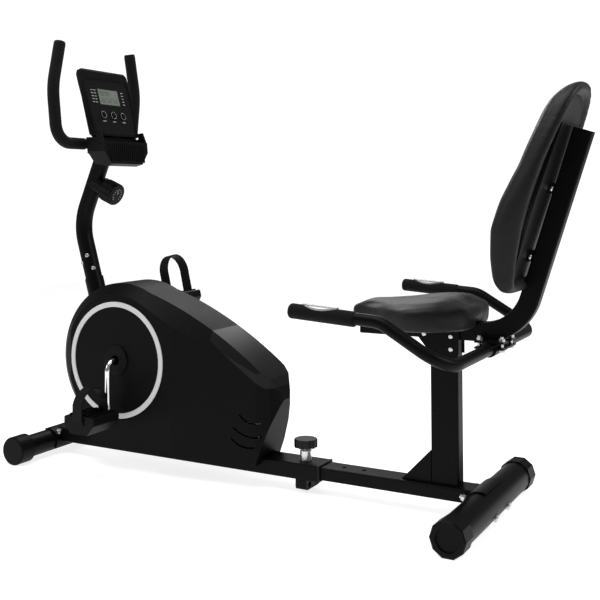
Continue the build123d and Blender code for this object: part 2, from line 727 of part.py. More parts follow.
def frame_screws():
    screws = [small_screw(at, out, 3.5, 3.0, 5.5) for at, out in stem_screws()]
    return screws + [small_screw(at, out, 7.5, 2.5, 5.0) for at, out in clamp_screws()]


def dial_axis():
    return upper_axis(DIAL_Z), lean_back()[1] * -1


def dial_base():
    foot, out = dial_axis()
    base = rod(foot, foot + out * 44, 23)
    base = base - rod(upper_axis(600), upper_axis(860), STEM_R)
    pointer = Plane(origin=foot + out * 34, z_dir=out, x_dir=(0, 1, 0)) * Pos(0, 25, 2) * Box(14, 6, 14)
    return base + pointer - rod(foot + out * 26, foot + out * 60, 4 + RUN)


def tension_dial():
    foot, out = dial_axis()
    frame = Plane(origin=foot + out * 44.5, z_dir=out, x_dir=(0, 1, 0))
    body = extrude(Circle(DIAL_R), amount=40)
    body = fillet(body.faces().sort_by(Axis.Z)[-1].edges(), 4)
    for i in range(12):
        body -= Rot(0, 0, 30 * i) * Pos(DIAL_R + 3.4, 0, 20) * Cylinder(5.5, 60)
    face = Pos(0, 0, 40) * Cylinder(21, 2)
    shaft = Pos(0, 0, -8) * Cylinder(4, 18)
    return frame * (body + face + shaft)


# Console: laid out on its own face plane, x across, y up the face, z towards the rider


def face_plane():
    tilt = radians(FACE_TILT)
    return Plane(origin=(FACE_BOTTOM[0], 0, FACE_BOTTOM[1]), x_dir=(0, 1, 0),
                 z_dir=(cos(tilt), 0, sin(tilt)))


def face_outline(grow=0.0, hood=0.0):
    low, high, h = 85 + grow, 93 + grow, FACE_HEIGHT + grow + hood
    corners = [(-low, -grow), (low, -grow), (high, h - 14), (high - 9, h), (-high + 9, h), (-high, h - 14)]
    return fillet(make_face(Polyline(*corners, close=True)).vertices(), 4)


LENS_Y, LENS_W, LENS_H = 108.5, 82.0, 44.0
BUTTON_Y, BUTTON_PITCH, BUTTON_R = 56.0, 40.0, 11.0


def console_face():
    plate = extrude(face_outline(-3), amount=-3)
    plate -= Pos(0, LENS_Y, 0) * Box(LENS_W, LENS_H, 20)
    for i in (-1, 0, 1):
        plate -= Pos(i * BUTTON_PITCH, BUTTON_Y, 0) * Cylinder(BUTTON_R + 0.4, 20)
    return face_plane() * plate


def display_lens():
    return face_plane() * Pos(0, LENS_Y, -1.8) * Box(LENS_W, LENS_H, 2.4)


def console_button(i):
    cap = Pos(i * BUTTON_PITCH, BUTTON_Y, 0) * Cylinder(BUTTON_R, 5)
    return face_plane() * fillet(cap.faces().sort_by(Axis.Z)[-1].edges(), 1)


CLASP_R, CLASP_LOW = 27.5, 792.0


def neck_clasp():
    # a half collar on the rider's side of the stem, which carries the console
    collar = rod(upper_axis(CLASP_LOW), upper_axis(872), CLASP_R)
    rider_side = Plane(origin=upper_axis(830), z_dir=lean_back()[1] * -1) * Pos(0, 0, 50) * Box(200, 200, 100)
    return collar & rider_side


def console_back():
    # a wedge-shaped case behind the face, with a hood over its top edge and a well for the face
    slab = [(-409, 856), (-462, 1036), (-466, 1041), (-480, 1037), (-428, 856)]
    works = [(-415, 856), (-462, 1010), (-478, 1010), (-492, 994), (-488, 960), (-462, 866), (-446, 856)]
    case = side_prism(slab, -95, 95) + side_prism(works, -58, 58)
    front = face_plane() * extrude(face_outline(3, 22), amount=120, both=True)
    case = (case & front) + neck_clasp()
    face_cut = face_plane() * Pos(0, FACE_HEIGHT / 2 - 20, 52) * Box(400, FACE_HEIGHT + 40, 100)
    well = face_plane() * Pos(0, 0, -3) * extrude(face_outline(-3), amount=13)
    hollow = face_plane() * Pos(0, 82, -6) * Box(150, 130, 6)
    return case - face_cut - well - hollow - rod(upper_axis(700), upper_axis(STEM_TOP[1]), STEM_R)


def console_tray():
    # a book rest: a ribbed front wall with cut corners, and a trough below the face
    side = [(-411, 855.9), (-411, 842), (-393, 836), (-393, 846), (-384, 846), (-379, 786), (-398, 780),
            (-436, 786), (-444, 855.9)]
    body = side_prism(side, -91, 91)
    front = Polyline((-91, 900), (-91, 818), (-60, 780), (60, 780), (91, 818), (91, 900), close=True)
    across = Plane(origin=(-300, 0, 0), x_dir=(0, 1, 0), z_dir=(1, 0, 0))
    body = body & (across * extrude(make_face(front), amount=-300))
    for y in (-88, 88):
        ear = side_prism([(-411, 842), (-411, 872), (-398, 874), (-386, 846), (-386, 836)], y - 3, y + 3)
        body += ear
    for i in range(-9, 10):
        body += Pos(0, 8 * i, 0) * side_prism([(-384, 838), (-379.6, 790), (-377.6, 792), (-382, 838)], -2, 2)
    return body - rod(upper_axis(CLASP_LOW - 40), upper_axis(900), CLASP_R + 0.05)


# Seat frame


def lean():
    a = radians(UPRIGHT_LEAN)
    return Vector(sin(a), 0, cos(a)), Vector(cos(a), 0, -sin(a))


def upright_x(z):
    return CORNER_X + (z - CURVE_Z) * tan(radians(UPRIGHT_LEAN))


def curved_tube():
    points = [(CURVE_FRONT, 0, CURVE_Z), (CORNER_X, 0, CURVE_Z), (upright_x(UPRIGHT_TOP_Z), 0, UPRIGHT_TOP_Z)]
    path = FilletPolyline(*points, radius=CURVE_R)
    start = Plane(origin=path @ 0, x_dir=(0, 1, 0), z_dir=path % 0)
    shape = sweep(start * RectangleRounded(CURVE_W, CURVE_H, 4), path=path)
    w = CURVE_WALL
    bore = sweep(start * RectangleRounded(CURVE_W - 2 * w, CURVE_H - 2 * w, 2), path=path)
    lid = Plane(origin=path @ 1, x_dir=(0, 1, 0), z_dir=path % 1) * Box(60, 60, 2 * w)
    shape -= bore - lid
    for x, z in POST_BOLTS:
        shape -= cross_rod(x, z, -40, 40, 3)
    return shape


def upright_plane(z):
    # on the front face of the upright, facing the rider's back
    up, back = lean()
    centre = Vector(upright_x(z), 0, z) - back * (CURVE_H / 2)
    return Plane(origin=centre, x_dir=(0, 1, 0), z_dir=back * -1)


TAB_Z, TAB_T, TAB_Y = (708.0, 565.0), 4.0, 30.0


CURVE_TOP, PLATE_T = CURVE_Z + CURVE_H / 2, 4.0
SEAT_PLATE_X = (400.0, 560.0)
SEAT_SCREWS = [(x, y) for x in (420, 540) for y in (-45, 45)]


def backrest_tube():
    # the curved tube with its cross tabs, and the ears that the handlebar clamp bolts to
    tube = curved_tube()
    for z in TAB_Z:
        tube += upright_plane(z) * Pos(0, 0, TAB_T / 2) * Box(2 * TAB_Y + 18, 20, TAB_T)
        for y in (-TAB_Y, TAB_Y):
            tube -= upright_plane(z) * Pos(y, 0, 0) * Cylinder(3.5, 20)
    for side in (-1, 1):
        y0, y1 = sorted((side * CURVE_W / 2, side * 47))
        ear = block(HANDLE_X - 32, HANDLE_X + 32, y0, y1, EAR_Z, EAR_Z + 4)
        for x in CLAMP_BOLT_X:
            ear -= Pos(x, side * 34, EAR_Z) * Cylinder(4, 20)
        tube += ear
    plate = block(*SEAT_PLATE_X, -60, 60, CURVE_TOP - 0.5, CURVE_TOP + PLATE_T)
    for x, y in SEAT_SCREWS:
        plate -= Pos(x, y, CURVE_TOP) * Cylinder(3, 20)
    return tube + plate


EAR_Z = HANDLE_Z + BAR_R + 0.1
CLAMP_BOLT_X = (HANDLE_X - 24.5, HANDLE_X + 24.5)


def seat_post():
    # upright post with a gusset in front and side plates that hold the curved tube
    x0, x1, y = POST_X - POST_LEN / 2, POST_X + POST_LEN / 2, POST_W / 2
    low, high = BEAM_Z + SLIDE_H / 2, CURVE_Z - CURVE_H / 2
    post = block(x0, x1, -y, y, low, high)
    post = fillet(post.edges().filter_by(Axis.Z), 4) - block(x0 + 2, x1 - 2, -y + 2, y - 2, low - 1, high - 2)
    gusset = side_prism([(x0 - 70, low), (x0, low), (x0, low + 72)], -y, y)
    gusset -= side_prism([(x0 - 58, low + 2), (x0 - 2, low + 2), (x0 - 2, low + 60)], -y + 2, y - 2)
    plates = []
    for y0, y1 in ((-y - 3, -y), (y, y + 3)):
        plates.append(side_prism([(458, 386), (486, 352), (552, 352), (552, 404), (458, 404)], y0, y1))
    holes = [cross_rod(x, z, -40, 40, 3) for x, z in POST_BOLTS]
    return post + gusset + (plates[0] + plates[1]) - (holes[0] + holes[1] + holes[2])


POST_BOLTS = ((472.0, 394.0), (534.0, 392.0), (534.0, 364.0))


SEAT_FRONT, SEAT_REAR, SEAT_HALF = 298.0, 597.0, 160.0
SEAT_LOW, SEAT_THICK, SEAT_TILT = 415.0, 58.0, 3.2


def seat_outline():
    # wide at the hips, square behind, narrow at the nose
    half = [(SEAT_FRONT, 36), (452, SEAT_HALF), (524, SEAT_HALF), (SEAT_REAR, 96)]
    corners = half + [(x, -y) for x, y in reversed(half)]
    round_by = [26, 60, 50, 22, 22, 50, 60, 26]
    return make_face(FilletPolyline(*corners, radius=round_by, close=True))


def seat_cushion():
    # a dished saddle, tilted a little; pockets beneath clear the tube and its plate
    form = extrude(seat_outline(), amount=SEAT_THICK)
    form = fillet(form.faces().sort_by(Axis.Z)[-1].edges(), 12)
    form -= rod((200, 0, SEAT_THICK + 72), (620, 0, SEAT_THICK + 84), 86)
    form = Pos(480, 0, SEAT_LOW) * Rot(0, -SEAT_TILT, 0) * Pos(-480, 0, 0) * form
    form -= block(200, 700, -CURVE_W / 2 - 1, CURVE_W / 2 + 1, 380, CURVE_TOP)
    return form - block(*SEAT_PLATE_X, -60, 60, 380, CURVE_TOP + PLATE_T)


BACK_Z = [498, 527, 569, 633, 691, 767, 846, 908, 936]
BACK_X = [699, 702, 708, 721, 738, 764, 797, 822, 833]
FRONT_X = [672, 660, 656, 660, 684, 724, 758, 784, 812]


def backrest_silhouette(inset=0.0):
    # seen from behind: a square foot, slightly tapering sides and a rounded top
    s = inset
    half = [(126 - s, 499 + s), (140 - s, 690), (106 - s, 938 - s)]
    corners = [(-y, z) for y, z in half] + [(y, z) for y, z in reversed(half)]
    round_by = [26, 300, 62, 62, 300, 26]
    face = make_face(FilletPolyline(*corners, radius=round_by, close=True))
    placed = Plane(origin=(0, 0, 0), x_dir=(0, 1, 0), z_dir=(1, 0, 0)) * face
    return extrude(placed, amount=1200)


BOARD_GAP, BOARD_T = TAB_T, 8.0


def backrest_board():
    # flat panel bolted to the tabs, ending level with the top of the upright
    frame = upright_plane(680)
    slab = frame * Pos(0, 0, BOARD_GAP + BOARD_T / 2) * Box(400, 336, BOARD_T)
    board = slab & backrest_silhouette(24)
    for z in TAB_Z:
        for y in (-TAB_Y, TAB_Y):
            board -= upright_plane(z) * Pos(y, 0, 0) * Cylinder(3, 60)
    return board


def backrest_cushion():
    # side profile: upright below, leaning back above, thickest at the small of the back
    back = Spline(*[(x, 0, z) for x, z in zip(BACK_X, BACK_Z)])
    front = Spline(*[(x, 0, z) for x, z in zip(FRONT_X, BACK_Z)])
    top = ThreePointArc(back @ 1, (826, 0, 944), front @ 1)
    low = Line(back @ 0, front @ 0)
    profile = extrude(make_face([back, top, front, low]), amount=160, dir=(0, 1, 0), both=True)
    form = profile & backrest_silhouette()
    frame = upright_plane(680)
    pocket = frame * Pos(0, 0, BOARD_GAP + BOARD_T - 60) * Box(400, 336, 120)
    groove = frame * Pos(0, 0, -40) * Box(CURVE_W + 1, 600, 80)
    return form - (pocket & backrest_silhouette(24)) - groove


def seat_handlebar_points():
    half = [(297, 466.5), (490, 455), (HANDLE_X, HANDLE_Z)]
    return [(x, -HANDLE_Y, z) for x, z in half] + [(x, HANDLE_Y, z) for x, z in reversed(half)]


HANDLE_RADII = [70, 62, 62, 70]


def seat_handlebar():
    return bent_tube(seat_handlebar_points(), HANDLE_RADII, BAR_R, BAR_R - 1.8)


def seat_grips():
    # foam sleeves with rounded closed ends over the front of each arm
    foam = bent_tube(seat_handlebar_points(), HANDLE_RADII, FOAM_R, BAR_R + 0.02)
    foam &= block(200, 440, -400, 400, 400, 500)
    tip, bend = Vector(*seat_handlebar_points()[0]), Vector(*seat_handlebar_points()[1])
    outward = (tip - bend).normalized()
    end = rod(tip + outward * 0.05, tip + outward * 9, FOAM_R)
    end = fillet(end.faces().sort_by(Axis.X)[0].edges(), 7)
    return foam + end + mirror_y(end)


def pulse_sensors():
    # a curved contact plate on top of each grip
    a, b = Vector(*seat_handlebar_points()[0]), Vector(*seat_handlebar_points()[1])
    out = (b - a).normalized()
    plate = rod(a + out * 22, a + out * 104, FOAM_R + 2.6, FOAM_R)
    up = Plane(origin=a + out * 63, x_dir=out, z_dir=(0, 0, 1))
    keep = up * extrude(Ellipse(41, 13), amount=40)
    return both_sides(plate & keep)


def seat_handlebar_clamp():
    ring = rod((HANDLE_X, -47, HANDLE_Z), (HANDLE_X, 47, HANDLE_Z), BAR_R + 4, BAR_R)
    lower = ring & block(HANDLE_X - 30, HANDLE_X + 30, -50, 50, HANDLE_Z - 30, HANDLE_Z + 4)
    flanges = block(HANDLE_X - 32, HANDLE_X + 32, -47, 47, HANDLE_Z, HANDLE_Z + 4)
    flanges -= rod((HANDLE_X, -60, HANDLE_Z), (HANDLE_X, 60, HANDLE_Z), BAR_R)
    for x in CLAMP_BOLT_X:
        for y in (-34, 34):
            flanges -= Pos(x, y, HANDLE_Z) * Cylinder(4, 20)
    return lower + flanges


def hex_bolt(at, direction, grip, radius, width):
    at, direction = Vector(*at), Vector(*direction).normalized()
    frame = Plane(origin=at, z_dir=direction)
    head = frame * hex_nut(width, radius * 1.3)
    return head + rod(at - direction * grip, at, radius)


def rear_fasteners():
    # clamp bolts with nuts, side-plate screws, tab screws and seat screws
    pieces = []
    for x in CLAMP_BOLT_X:
        for y in (-34, 34):
            bolt = hex_bolt((x, y, HANDLE_Z), (0, 0, -1), EAR_Z + 14 - HANDLE_Z, 4, 13)
            nut = Pos(x, y, EAR_Z + 4) * hex_nut(13, 6)
            pieces.append(bolt + nut)
    y = POST_W / 2 + 3
    for x, z in POST_BOLTS:
        pieces.append(small_screw((x, -y, z), (0, -1, 0), 2 * y, 3, 5.5))
    for z in TAB_Z:
        frame = upright_plane(z)
        for y in (-TAB_Y, TAB_Y):
            at = frame * Pos(y, 0, 0)
            pieces.append(small_screw(at.position, frame.z_dir * -1, 12, 3, 6))
    under = CURVE_TOP - 0.5
    pieces += [hex_bolt((x, y, under), (0, 0, -1), PLATE_T + 0.5, 3, 10) for x, y in SEAT_SCREWS]
    return pieces


def main():
    shell = housing_shell()
    nodes = {
        "main_beam": main_beam(),
        "slide_bush": slide_bush(),
        "front_stabiliser": stabiliser(-WHEELBASE_HALF, FRONT_TUBE_R, FRONT_HALF, FRONT_BOLTS),
        "front_caps": both_sides(front_cap()),
        "front_fasteners": stabiliser_bolts(-WHEELBASE_HALF, FRONT_TUBE_R, 1, FRONT_TILT) + frame_screws(),
        "middle_foot": middle_foot(),
        "pin_boss": pin_boss(),
        "pin_spring": pin_spring(),
        "pull_pin": pull_pin(),
        "pin_head": pin_head(),
        "stem_post": stem_post(),
        "bottom_bracket": bottom_bracket(),
        "bearing_cups": bearing_cups(),
        "drive_mounts": [flywheel_mount(), idler_bracket()],
        "flywheel_axle": flywheel_axle(),
        "flywheel": [flywheel(), flywheel_pulley()],
        "flywheel_bearings": flywheel_bearings(),
        "belt": belt(),
        "idler_pulley": idler_pulley(),
        "magnet_arm": magnet_arm(),
        "magnets": magnets(),
        "crank": crank(),
        "crank_pulley": crank_pulley(),
        "pedal_spindles": pedal_spindles(),
        "pedal_left": pedal("left"),
        "pedal_right": tip_back(pedal("right")),
        "strap_left": pedal_strap("left"),
        "strap_right": tip_back(pedal_strap("right")),
        "housing_left": housing_half(shell, "left"),
        "housing_right": housing_half(shell, "right"),
        "tail_cover": tail_cover(shell),
        "trim_rings": both_sides(trim_ring()),
        "hub_discs": both_sides(hub_disc()),
        "stem": stem(),
        "bar_clamp": bar_clamp(),
        "handlebar": handlebar(),
        "handlebar_grips": handlebar_grips(),
        "handlebar_caps": handlebar_caps(),
        "dial_base": dial_base(),
        "tension_dial": tension_dial(),
        "console_back": console_back(),
        "console_face": console_face(),
        "display_lens": display_lens(),
        "console_tray": console_tray(),
        "button_left": console_button(-1),
        "button_middle": console_button(0),
        "button_right": console_button(1),
        "slide_beam": slide_beam(),
        "rear_stabiliser": stabiliser(WHEELBASE_HALF, REAR_TUBE_R, REAR_HALF, REAR_BOLTS),
        "rear_caps": both_sides(rear_cap()),
        "seat_post": seat_post(),
        "backrest_tube": backrest_tube(),
        "seat_cushion": seat_cushion(),
        "backrest_board": backrest_board(),
        "backrest_cushion": backrest_cushion(),
        "seat_handlebar": seat_handlebar(),
        "seat_handlebar_clamp": seat_handlebar_clamp(),
        "seat_grips": seat_grips(),
        "pulse_sensors": pulse_sensors(),
        "rear_fasteners": stabiliser_bolts(WHEELBASE_HALF, REAR_TUBE_R, -1, REAR_TILT) + rear_fasteners(),
    }
    write_nodes(nodes)


def write_nodes(nodes):
    # the frame's origin is the middle of the overall box, on the floor
    groups = {}
    for name, shape in nodes.items():
        pieces = shape if isinstance(shape, list) else [shape]
        groups[name] = Compound([solid for piece in pieces for solid in piece.solids()])
    whole = Compound(list(groups.values())).bounding_box()
    shift = Pos(-(whole.min.X + whole.max.X) / 2, 0, -whole.min.Z)
    print("shift", round(-(whole.min.X + whole.max.X) / 2, 3), "low", round(whole.min.Z, 3))
    os.makedirs("parts", exist_ok=True)
    for name, group in groups.items():
        export_step(shift * group, f"parts/{name}.step")
    print(len(groups), "nodes, size", whole.size)


main()
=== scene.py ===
import json
import math

import bmesh
import bpy
import numpy as np
from mathutils import Matrix, Vector


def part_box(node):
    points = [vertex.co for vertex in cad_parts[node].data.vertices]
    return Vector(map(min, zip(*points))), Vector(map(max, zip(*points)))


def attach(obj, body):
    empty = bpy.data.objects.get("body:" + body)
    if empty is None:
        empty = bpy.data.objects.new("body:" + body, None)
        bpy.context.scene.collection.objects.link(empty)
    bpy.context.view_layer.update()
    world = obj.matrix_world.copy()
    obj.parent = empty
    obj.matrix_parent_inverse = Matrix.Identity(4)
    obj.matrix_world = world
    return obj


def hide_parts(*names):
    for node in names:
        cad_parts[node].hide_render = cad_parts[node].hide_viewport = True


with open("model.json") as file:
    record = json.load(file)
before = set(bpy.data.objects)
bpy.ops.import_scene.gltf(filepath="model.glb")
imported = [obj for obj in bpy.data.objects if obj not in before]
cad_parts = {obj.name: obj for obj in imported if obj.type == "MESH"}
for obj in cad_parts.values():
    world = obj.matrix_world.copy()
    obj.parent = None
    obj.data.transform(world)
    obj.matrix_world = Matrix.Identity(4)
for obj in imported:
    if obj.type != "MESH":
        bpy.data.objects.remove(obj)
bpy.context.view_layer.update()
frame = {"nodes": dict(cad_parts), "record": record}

scene = bpy.context.scene
nodes = frame["nodes"]
record = frame["record"]


# ---- camera, light and floor

viewpoint = {
    "place": (1.15535, -2.02288, 0.71375),
    "azimuth": 28.788, "pitch": -1.696, "roll": -0.2416,   # degrees, pitch down is positive
    "lens": 57.243, "shiftX": 0.0030, "shiftY": -0.2300,
}


def placeCamera():
    # the view direction from azimuth and pitch, then a roll about it
    az, pitch, roll = (math.radians(viewpoint[k]) for k in ("azimuth", "pitch", "roll"))
    ahead = Vector((-math.sin(az) * math.cos(pitch), math.cos(az) * math.cos(pitch), -math.sin(pitch)))
    right = ahead.cross(Vector((0, 0, 1))).normalized()
    up = right.cross(ahead)
    turn = Matrix.Rotation(-roll, 3, ahead)
    right, up = turn @ right, turn @ up
    data = bpy.data.cameras.new("camera")
    data.lens, data.sensor_width = viewpoint["lens"], 36.0
    data.shift_x, data.shift_y = viewpoint["shiftX"], viewpoint["shiftY"]
    data.clip_end = 200
    camera = bpy.data.objects.new("camera", data)
    scene.collection.objects.link(camera)
    basis = Matrix((right, up, -ahead)).transposed().to_4x4()
    camera.matrix_world = Matrix.Translation(viewpoint["place"]) @ basis
    scene.camera = camera


softLights = [
    # name, place, aim, size, power
    ("overhead", (-0.3, -0.6, 3.2), (0, 0, 0.4), 2.6, 68),
    ("leftFront", (-2.6, -2.4, 1.9), (0, 0, 0.5), 1.6, 22),
    ("rightBack", (2.8, 0.6, 2.1), (0.4, 0, 0.6), 1.5, 34),
    ("behind", (-1.2, 2.6, 2.2), (0, 0, 0.6), 1.6, 20),
]
studio = {"fill": 0.22, "backdrop": 1.10, "floorGlow": 0.80, "floorRadius": 4.0}


def placeLights():
    for name, place, aim, size, power in softLights:
        data = bpy.data.lights.new(name, "AREA")
        data.shape, data.size, data.energy = "DISK", size, power
        light = bpy.data.objects.new(name, data)
        light.location = place
        light.rotation_euler = (Vector(aim) - Vector(place)).to_track_quat("-Z", "Y").to_euler()
        scene.collection.objects.link(light)
    world = bpy.data.worlds.new("studio")
    world.use_nodes = True
    # full white where the camera sees it, dimmer as a light
    tree = world.node_tree
    sky = tree.nodes["Background"]
    sky.inputs["Color"].default_value = (1, 1, 1, 1)
    seen = tree.nodes.new("ShaderNodeLightPath")
    level = tree.nodes.new("ShaderNodeMapRange")
    level.inputs["To Min"].default_value = studio["fill"]
    level.inputs["To Max"].default_value = studio["backdrop"]
    tree.links.new(seen.outputs["Is Camera Ray"], level.inputs["Value"])
    tree.links.new(level.outputs["Result"], sky.inputs["Strength"])
    scene.world = world
    scene.view_settings.view_transform = "Standard"


# ---- materials

patchEdges = (0.32, 0.68)                   # where the slow noise turns from one shade to the other


def makeMaterial(name, colour, roughness, tint=0.15, metallic=0.0, patch=9.0, grain=None, wear=0.05,
                 **shader):
    # two shades of one colour in slow patches, roughness that drifts, and a fine bump from grain:
    # (texture kind, scale, height in metres, strength)
    material = bpy.data.materials.new(name)
    material.use_nodes = True
    tree = material.node_tree
    surface = tree.nodes["Principled BSDF"]
    place = tree.nodes.new("ShaderNodeTexCoord")
    drift = tree.nodes.new("ShaderNodeTexNoise")
    drift.inputs["Scale"].default_value = patch
    drift.inputs["Detail"].default_value = 5
    tree.links.new(place.outputs["Object"], drift.inputs["Vector"])
    ramp = tree.nodes.new("ShaderNodeValToRGB")
    for element, edge in zip(ramp.color_ramp.elements, patchEdges):
        element.position = edge
    ramp.color_ramp.elements[0].color = (*[c * (1 - tint) for c in colour], 1)
    ramp.color_ramp.elements[1].color = (*[min(1, c * (1 + tint)) for c in colour], 1)
    tree.links.new(drift.outputs["Fac"], ramp.inputs["Fac"])
    tree.links.new(ramp.outputs["Color"], surface.inputs["Base Color"])
    span = tree.nodes.new("ShaderNodeMapRange")
    span.inputs["To Min"].default_value = roughness - wear
    span.inputs["To Max"].default_value = roughness + wear
    tree.links.new(drift.outputs["Fac"], span.inputs["Value"])
    tree.links.new(span.outputs["Result"], surface.inputs["Roughness"])
    surface.inputs["Metallic"].default_value = metallic
    for socket, value in shader.items():
        surface.inputs[socket.replace("_", " ")].default_value = value
    if grain:
        kind, scale, height, strength = grain
        texture = tree.nodes.new("ShaderNodeTexVoronoi" if kind == "cells" else "ShaderNodeTexNoise")
        texture.inputs["Scale"].default_value = scale
        tree.links.new(place.outputs["Object"], texture.inputs["Vector"])
        bump = tree.nodes.new("ShaderNodeBump")
        bump.inputs["Distance"].default_value = height
        bump.inputs["Strength"].default_value = strength
        out = "Distance" if kind == "cells" else "Fac"
        tree.links.new(texture.outputs[out], bump.inputs["Height"])
        tree.links.new(bump.outputs["Normal"], surface.inputs["Normal"])
    return material


dull = {"Specular_IOR_Level": 0.07}      # black coatings that give back little light

finishes = {
    "powderCoat": makeMaterial("powderCoat", (0.0028, 0.0028, 0.0032), 0.38,
                               grain=("noise", 900, 0.0004, 0.35), **dull),
    "mouldedBlack": makeMaterial("mouldedBlack", (0.0024, 0.0024, 0.0028), 0.46,
                                 grain=("cells", 700, 0.0003, 0.45), **dull),
    "glossBlack": makeMaterial("glossBlack", (0.0026, 0.0026, 0.0029), 0.34,
                               grain=("noise", 60, 0.0004, 0.05), Specular_IOR_Level=0.20),
    "hardBlack": makeMaterial("hardBlack", (0.0042, 0.0042, 0.0045), 0.42,
                              grain=("noise", 500, 0.0003, 0.30), **dull),
    "ringPaint": makeMaterial("ringPaint", (0.60, 0.61, 0.62), 0.38, tint=0.03,
                              grain=("noise", 800, 0.0002, 0.2)),
    "chrome": makeMaterial("chrome", (0.78, 0.78, 0.79), 0.14, tint=0.03, metallic=1.0,
                           grain=("noise", 40, 0.0005, 0.06)),
    "zinc": makeMaterial("zinc", (0.62, 0.62, 0.63), 0.30, tint=0.08, metallic=1.0,
                         grain=("noise", 700, 0.0002, 0.3)),
    "castIron": makeMaterial("castIron", (0.16, 0.16, 0.165), 0.48, metallic=0.8,
                             grain=("noise", 420, 0.0006, 0.6)),
    "plainSteel": makeMaterial("plainSteel", (0.40, 0.40, 0.41), 0.42, metallic=1.0,
                               grain=("noise", 300, 0.0003, 0.4)),
    "beltRubber": makeMaterial("beltRubber", (0.009, 0.009, 0.009), 0.62,
                               grain=("noise", 600, 0.0004, 0.5), **dull),
    "strapRubber": makeMaterial("strapRubber", (0.008, 0.008, 0.0084), 0.52,
                                grain=("noise", 480, 0.0004, 0.45), **dull),
    "foam": makeMaterial("foam", (0.0050, 0.0050, 0.0054), 0.74, grain=("cells", 620, 0.0006, 0.55),
                         Sheen_Weight=0.06, **dull),
    "vinyl": makeMaterial("vinyl", (0.0058, 0.0058, 0.0061), 0.45, grain=("cells", 420, 0.0005, 0.50),
                          Sheen_Weight=0.04, Specular_IOR_Level=0.20),
    "backPanel": makeMaterial("backPanel", (0.040, 0.040, 0.042), 0.60,
                              grain=("cells", 300, 0.0006, 0.6), **dull),
    "nylon": makeMaterial("nylon", (0.012, 0.012, 0.0125), 0.45, grain=("noise", 300, 0.0003, 0.3), **dull),
    "lens": makeMaterial("lens", (0.150, 0.175, 0.150), 0.22, tint=0.05, grain=("noise", 30, 0.0003, 0.04),
                         Coat_Weight=0.3),
    "segmentInk": makeMaterial("segmentInk", (0.020, 0.024, 0.021), 0.40, tint=0.05,
                               grain=("noise", 900, 0.0001, 0.2)),
    "printInk": makeMaterial("printInk", (0.46, 0.46, 0.46), 0.5, tint=0.04,
                             grain=("noise", 900, 0.0001, 0.2)),
    "sensorPlate": makeMaterial("sensorPlate", (0.36, 0.36, 0.37), 0.34, tint=0.05, metallic=1.0,
                                grain=("noise", 500, 0.0002, 0.3)),
}

slotFinish = {
    "black_frame": "powderCoat", "housing_black": "mouldedBlack", "gloss_black": "glossBlack",
    "cap_black": "hardBlack", "ring_grey": "ringPaint", "bright_steel": "chrome", "zinc_steel": "zinc",
    "iron": "castIron", "steel_plate": "plainSteel", "belt_rubber": "beltRubber",
    "strap_rubber": "strapRubber", "foam_black": "foam", "seat_vinyl": "vinyl", "back_vinyl": "vinyl",
    "nylon_natural": "nylon", "lens_grey": "lens", "key_black": "hardBlack", "sensor_steel": "sensorPlate",
}


def paintNodes():
    slotOf = {part["node"]: part["material_slot"] for part in record["subparts"]}
    for name, piece in nodes.items():
        finish = finishes[slotFinish[slotOf[name]]]
        if not piece.material_slots:
            piece.data.materials.append(finish)
        for place in piece.material_slots:
            place.material = finish


# ---- surfaces from arrays

def gridFaces(rows, columns, wrapRows=False, wrapColumns=True):
    # four corners of each cell, wound so that the face looks along row direction x column direction
    r = np.arange(rows if wrapRows else rows - 1)
    c = np.arange(columns if wrapColumns else columns - 1)
    r, c = np.meshgrid(r, c, indexing="ij")
    r2, c2 = (r + 1) % rows, (c + 1) % columns
    quads = np.stack([r * columns + c, r2 * columns + c, r2 * columns + c2, r * columns + c2], axis=-1)
    return quads.reshape(-1, 4)


def addPiece(name, points, faces, finish, body, smooth=True):
    mesh = bpy.data.meshes.new(name)
    mesh.from_pydata(points.reshape(-1, 3).tolist(), [], faces.tolist())
    mesh.polygons.foreach_set("use_smooth", np.full(len(mesh.polygons), smooth))
    mesh.materials.append(finishes[finish])
    mesh.update()
    piece = bpy.data.objects.new(name, mesh)
    scene.collection.objects.link(piece)
    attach(piece, body)
    return piece


def closedCurve(points, count):
    # a smooth loop through the points: each coordinate is a periodic cubic between neighbours
    points = np.asarray(points, float)
    n = len(points)
    t = np.arange(count) * n / count
    i, f = t.astype(int), (t % 1)[:, None]
    p0, p1, p2, p3 = (points[(i + k) % n] for k in (-1, 0, 1, 2))
    return 0.5 * (2 * p1 + (p2 - p0) * f + (2 * p0 - 5 * p1 + 4 * p2 - p3) * f ** 2
                  + (3 * p1 - p0 - 3 * p2 + p3) * f ** 3)


def mirrored(half):
    # the half outline, then the same points on the other side, without the two on the middle line
    half = np.asarray(half, float)
    other = half[-2:0:-1] * (-1, 1)
    return np.vstack([half, other])


def weld(piece, distance=0.00005):
    # joins the doubled points at poles and turns every face outwards
    work = bmesh.new()
    work.from_mesh(piece.data)
    bmesh.ops.remove_doubles(work, verts=work.verts, dist=distance)
    bmesh.ops.recalc_face_normals(work, faces=work.faces)
    work.to_mesh(piece.data)
    work.free()


def applyModifiers(piece):
    graph = bpy.context.evaluated_depsgraph_get()
    mesh = bpy.data.meshes.new_from_object(piece.evaluated_get(graph))
    piece.modifiers.clear()
    old, piece.data = piece.data, mesh
    bpy.data.meshes.remove(old)


def readPoints(mesh):
    flat = np.empty(len(mesh.vertices) * 3)
    mesh.vertices.foreach_get("co", flat)
    return flat.reshape(-1, 3)


def spread(values, edges, rounds):
    # each point takes the mean of itself and its neighbours
    count = np.bincount(edges.ravel(), minlength=len(values))[:, None] + 1.0
    for step in range(rounds):
        total = values.copy()
        np.add.at(total, edges[:, 0], values[edges[:, 1]])
        np.add.at(total, edges[:, 1], values[edges[:, 0]])
        values = total / count
    return values


